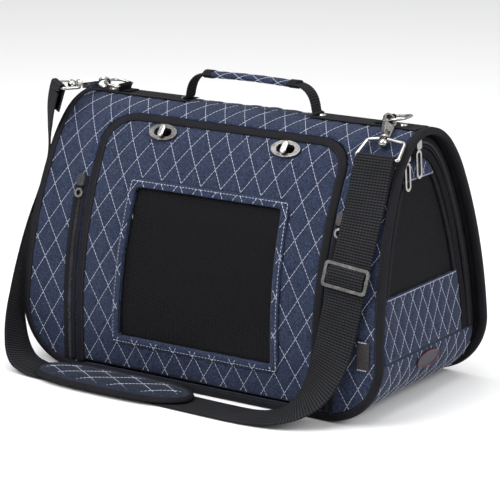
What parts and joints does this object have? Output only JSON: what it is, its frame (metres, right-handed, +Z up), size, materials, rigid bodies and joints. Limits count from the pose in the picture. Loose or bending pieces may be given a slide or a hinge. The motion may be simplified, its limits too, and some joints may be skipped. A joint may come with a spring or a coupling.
{
  "type": "pet carrier bag",
  "caption": "Soft quilted pet carrier with an arched body, a front window door, a zipped end door, a handle and a clip-on shoulder strap.",
  "frame": {"origin": "middle of the base, on the surface that the bag stands on", "axes": "+X along the length towards the end door, -Y is the front with the window door, +Z up"},
  "size_m": [0.4355, 0.2613, 0.2915],
  "materials": {
    "quilted_denim": "navy denim with white diamond quilting",
    "pad_denim": "navy denim with white diamond quilting",
    "denim_hem": "turned denim edge with white stitching",
    "black_mesh": "open woven mesh",
    "black_binding": "ribbed binding tape",
    "black_lining": "plain lining cloth",
    "black_webbing": "woven webbing",
    "zip_coil": "nylon coil",
    "badge_rubber": "matt, blank",
    "label_cloth": "woven, blank",
    "board_plastic": "matt",
    "mat_fleece": "short fleece",
    "nickel": "polished nickel plating"
  },
  "bodies": {
    "root": {"back_panel": "quilted_denim", "base_board": "board_plastic", "base_panel": "quilted_denim", "bottom_binding_front": "black_binding", "bottom_binding_rear": "black_binding", "d_ring_left": "nickel", "d_ring_right": "nickel", "d_ring_tab_left": "black_webbing", "d_ring_tab_right": "black_webbing", "edge_binding_left": "black_binding", "edge_binding_right": "black_binding", "end_badge": "badge_rubber", "floor_mat": "mat_fleece", "front_panel": "quilted_denim", "front_zip_tape_left": "black_binding", "front_zip_tape_right": "black_binding", "handle_feet": "black_webbing", "label_tag": "label_cloth", "left_end_mesh": "black_mesh", "left_end_panel": "quilted_denim", "lock_facing": "black_lining", "ridge_webbing_left": "black_webbing", "ridge_webbing_right": "black_webbing", "right_end_frame": "quilted_denim", "rivets": "nickel", "side_zip_coil": "zip_coil"},
    "front_door": {"door_panel": "quilted_denim", "door_binding": "black_binding", "door_mesh": "black_mesh", "door_window_hem": "denim_hem", "lock_plates": "nickel"},
    "lock_toggle_left": {"lock_toggle_left": "nickel"},
    "lock_toggle_right": {"lock_toggle_right": "nickel"},
    "front_zip_slider_left": {"front_zip_slider_left": "nickel"},
    "front_zip_slider_right": {"front_zip_slider_right": "nickel"},
    "front_zip_pull_left": {"front_zip_pull_left": "nickel"},
    "front_zip_pull_right": {"front_zip_pull_right": "nickel"},
    "side_door": {"side_door_panel": "quilted_denim", "side_door_mesh": "black_mesh"},
    "side_zip_slider_front": {"side_zip_slider_front": "nickel"},
    "side_zip_slider_rear": {"side_zip_slider_rear": "nickel"},
    "side_zip_pull_front": {"side_zip_pull_front": "nickel"},
    "side_zip_pull_rear": {"side_zip_pull_rear": "nickel"},
    "handle": {"handle_grip": "quilted_denim", "handle_webbing": "black_webbing"},
    "shoulder_strap": {"strap_webbing_front": "black_webbing", "strap_webbing_floor": "black_webbing", "strap_webbing_side": "black_webbing", "shoulder_pad": "pad_denim", "swivel_loop_left": "nickel", "swivel_loop_right": "nickel"},
    "strap_adjuster": {"strap_adjuster": "nickel"},
    "hook_left": {"snap_hook_left": "nickel"},
    "hook_right": {"snap_hook_right": "nickel"},
    "hook_trigger_left": {"hook_trigger_left": "nickel"},
    "hook_trigger_right": {"hook_trigger_right": "nickel"}
  },
  "joints": [
    {"name": "front_door_fold", "type": "hinge", "parent": "root", "child": "front_door", "pos_m": [0, -0.10129, 0.0086], "axis": [1, 0, 0], "range_deg": [0, 85]},
    {"name": "strap_lift", "type": "hinge", "parent": "root", "child": "shoulder_strap", "pos_m": [0.1603, -0.013, 0.26752], "axis": [-1, 0.0079, 0.0037], "range_deg": [0, 115]},
    {"name": "lock_turn_left", "type": "hinge", "parent": "root", "child": "lock_toggle_left", "pos_m": [-0.07, -0.04797, 0.235], "axis": [0, -0.7762, 0.6305], "range_deg": [0, 90]},
    {"name": "front_zip_travel_left", "type": "hinge", "parent": "root", "child": "front_zip_slider_left", "pos_m": [-0.1485, 0.26791, 0.05], "axis": [1, 0, 0], "range_deg": [0, 20]},
    {"name": "front_zip_pull_swing_left", "type": "hinge", "parent": "front_zip_slider_left", "child": "front_zip_pull_left", "pos_m": [-0.1485, -0.08023, 0.17824], "axis": [-1, 0, 0], "range_deg": [0, 100]},
    {"name": "lock_turn_right", "type": "hinge", "parent": "root", "child": "lock_toggle_right", "pos_m": [0.07, -0.04797, 0.235], "axis": [0, -0.7762, 0.6305], "range_deg": [0, 90]},
    {"name": "front_zip_travel_right", "type": "hinge", "parent": "root", "child": "front_zip_slider_right", "pos_m": [0.1485, 0.26791, 0.05], "axis": [1, 0, 0], "range_deg": [0, 20]},
    {"name": "front_zip_pull_swing_right", "type": "hinge", "parent": "front_zip_slider_right", "child": "front_zip_pull_right", "pos_m": [0.1485, -0.08023, 0.17824], "axis": [-1, 0, 0], "range_deg": [0, 10]},
    {"name": "side_door_fold", "type": "hinge", "parent": "root", "child": "side_door", "pos_m": [0.19294, 0, 0.053], "axis": [0, 1, 0], "range_deg": [0, 105]},
    {"name": "side_zip_travel_front", "type": "hinge", "parent": "root", "child": "side_zip_slider_front", "pos_m": [0.18432, 0, 0.20251], "axis": [0.9983, 0, 0.0576], "range_deg": [0, 9]},
    {"name": "side_zip_pull_swing_front", "type": "hinge", "parent": "side_zip_slider_front", "child": "side_zip_pull_front", "pos_m": [0.18612, -0.026, 0.23298], "axis": [0, -1, 0], "range_deg": [0, 60]},
    {"name": "side_zip_travel_rear", "type": "hinge", "parent": "root", "child": "side_zip_slider_rear", "pos_m": [0.18432, 0, 0.20251], "axis": [-0.9983, 0, -0.0576], "range_deg": [0, 50]},
    {"name": "side_zip_pull_swing_rear", "type": "hinge", "parent": "side_zip_slider_rear", "child": "side_zip_pull_rear", "pos_m": [0.18565, -0.005, 0.24113], "axis": [0, -1, 0], "range_deg": [0, 60]},
    {"name": "handle_fold", "type": "hinge", "parent": "root", "child": "handle", "pos_m": [0, 0, 0.27121], "axis": [1, 0, 0], "range_deg": [-60, 60], "stiffness_Nm_per_rad": 0.06},
    {"name": "hook_swivel_left", "type": "hinge", "parent": "shoulder_strap", "child": "hook_left", "pos_m": [-0.19072, -0.03596, 0.2688], "axis": [-0.6412, -0.7674, 0], "range_deg": [-12, 6]},
    {"name": "hook_swivel_right", "type": "hinge", "parent": "shoulder_strap", "child": "hook_right", "pos_m": [0.16896, -0.0403, 0.25146], "axis": [0.2706, -0.8219, -0.5012], "range_deg": [-12, 12]},
    {"name": "hook_trigger_pull_left", "type": "slide", "parent": "hook_left", "child": "hook_trigger_left", "axis": [-0.6412, -0.7674, 0], "range_m": [0, 0.004], "stiffness_N_per_m": 200},
    {"name": "hook_trigger_pull_right", "type": "slide", "parent": "hook_right", "child": "hook_trigger_right", "axis": [0.2706, -0.8219, -0.5012], "range_m": [0, 0.004], "stiffness_N_per_m": 200},
    {"name": "adjuster_slide", "type": "slide", "parent": "shoulder_strap", "child": "strap_adjuster", "axis": [-0.0797, -0.2391, -0.9677], "range_m": [-0.012, 0.012]}
  ],
  "couplings": [
    {"joint": "strap_lift", "follows": "front_door_fold", "ratio": 1.35}
  ]
}
